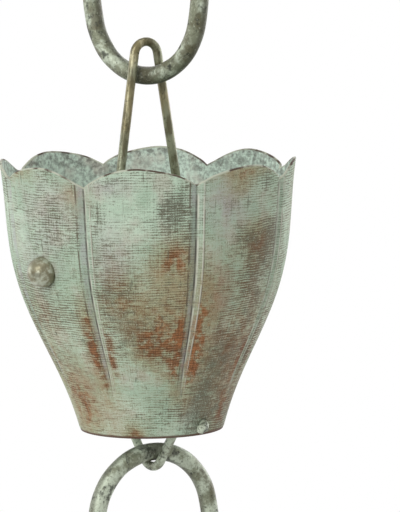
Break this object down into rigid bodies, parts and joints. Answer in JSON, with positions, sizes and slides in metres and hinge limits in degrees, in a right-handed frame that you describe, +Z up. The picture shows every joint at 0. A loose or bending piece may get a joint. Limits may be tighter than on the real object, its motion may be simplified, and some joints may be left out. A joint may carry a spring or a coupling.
{
  "type": "rain chain",
  "caption": "Hanging chain of oval rod links with fluted, scalloped open-footed cups that guide rain water down from a gutter.",
  "frame": {"origin": "seat of the gutter hook: middle of the inner face of the top link's upper bend", "axes": "+Z up along the hanging chain; the cups' cross rods lie along Y and their bails hang in the XZ plane"},
  "size_m": [0.1016, 0.1056, 0.9761],
  "materials": {
    "cup_sheet": "verdigris patina, brushed round the cup",
    "link_rod": "grey-green weathered patina",
    "wire": "olive-brown weathered wire",
    "nut": "worn olive-brown dome"
  },
  "bodies": {
    "link_01": {"link_01": "link_rod"},
    "link_02": {"link_02": "link_rod"},
    "upper_hanger": {"upper_hanger": "wire"},
    "upper_cup": {"upper_cup": "cup_sheet", "upper_cross_rod": "wire", "upper_left_nut": "nut", "upper_right_nut": "nut"},
    "upper_bail": {"upper_bail": "wire"},
    "lower_hanger": {"lower_hanger": "wire"},
    "lower_cup": {"lower_cup": "cup_sheet", "lower_cross_rod": "wire", "lower_left_nut": "nut", "lower_right_nut": "nut"},
    "lower_bail": {"lower_bail": "wire"},
    "link_03": {"link_03": "link_rod"},
    "link_04": {"link_04": "link_rod"},
    "link_05": {"link_05": "link_rod"},
    "link_06": {"link_06": "link_rod"},
    "link_07": {"link_07": "link_rod"},
    "link_08": {"link_08": "link_rod"},
    "link_09": {"link_09": "link_rod"},
    "link_10": {"link_10": "link_rod"},
    "link_11": {"link_11": "link_rod"}
  },
  "joints": [
    {"name": "link_02_swing", "type": "hinge", "parent": "link_01", "child": "link_02", "pos_m": [0, 0, -0.06628], "axis": [0, 1, 0], "range_deg": [-75, 75]},
    {"name": "upper_hanger_swing", "type": "hinge", "parent": "link_02", "child": "upper_hanger", "pos_m": [0, 0, -0.12907], "axis": [0.9848, 0.1736, 0], "range_deg": [-60, 60]},
    {"name": "upper_cup_tilt", "type": "hinge", "parent": "upper_hanger", "child": "upper_cup", "pos_m": [0, 0, -0.19228], "axis": [0, -1, 0], "range_deg": [-35, 35]},
    {"name": "upper_bail_swing", "type": "hinge", "parent": "upper_cup", "child": "upper_bail", "pos_m": [0, 0, -0.24627], "axis": [-1, 0, 0], "range_deg": [-25, 25]},
    {"name": "link_03_swing", "type": "hinge", "parent": "upper_bail", "child": "link_03", "pos_m": [0, 0, -0.26367], "axis": [1, 0, 0], "range_deg": [-45, 45]},
    {"name": "link_04_swing", "type": "hinge", "parent": "link_03", "child": "link_04", "pos_m": [0, 0, -0.32805], "axis": [0.1736, 0.9848, 0], "range_deg": [-75, 75]},
    {"name": "link_05_swing", "type": "hinge", "parent": "link_04", "child": "link_05", "pos_m": [0, 0, -0.39085], "axis": [0.866, 0.5, 0], "range_deg": [-75, 75]},
    {"name": "link_06_swing", "type": "hinge", "parent": "link_05", "child": "link_06", "pos_m": [0, 0, -0.45365], "axis": [-0.9397, 0.342, 0], "range_deg": [-75, 75]},
    {"name": "link_07_swing", "type": "hinge", "parent": "link_06", "child": "link_07", "pos_m": [0, 0, -0.51645], "axis": [-0.1045, -0.9945, 0], "range_deg": [-75, 75]},
    {"name": "lower_hanger_swing", "type": "hinge", "parent": "link_07", "child": "lower_hanger", "pos_m": [0, 0, -0.57925], "axis": [1, 0, 0], "range_deg": [-60, 60]},
    {"name": "lower_cup_tilt", "type": "hinge", "parent": "lower_hanger", "child": "lower_cup", "pos_m": [0, 0, -0.64245], "axis": [0, 1, 0], "range_deg": [-35, 35]},
    {"name": "lower_bail_swing", "type": "hinge", "parent": "lower_cup", "child": "lower_bail", "pos_m": [0, 0, -0.69645], "axis": [-1, 0, 0], "range_deg": [-25, 25]},
    {"name": "link_08_swing", "type": "hinge", "parent": "lower_bail", "child": "link_08", "pos_m": [0, 0, -0.71385], "axis": [1, 0, 0], "range_deg": [-45, 45]},
    {"name": "link_09_swing", "type": "hinge", "parent": "link_08", "child": "link_09", "pos_m": [0, 0, -0.77822], "axis": [-0.1392, -0.9903, 0], "range_deg": [-75, 75]},
    {"name": "link_10_swing", "type": "hinge", "parent": "link_09", "child": "link_10", "pos_m": [0, 0, -0.84103], "axis": [-0.9848, 0.1736, 0], "range_deg": [-75, 75]},
    {"name": "link_11_swing", "type": "hinge", "parent": "link_10", "child": "link_11", "pos_m": [0, 0, -0.90382], "axis": [-0.766, -0.6428, 0], "range_deg": [-75, 75]}
  ]
}
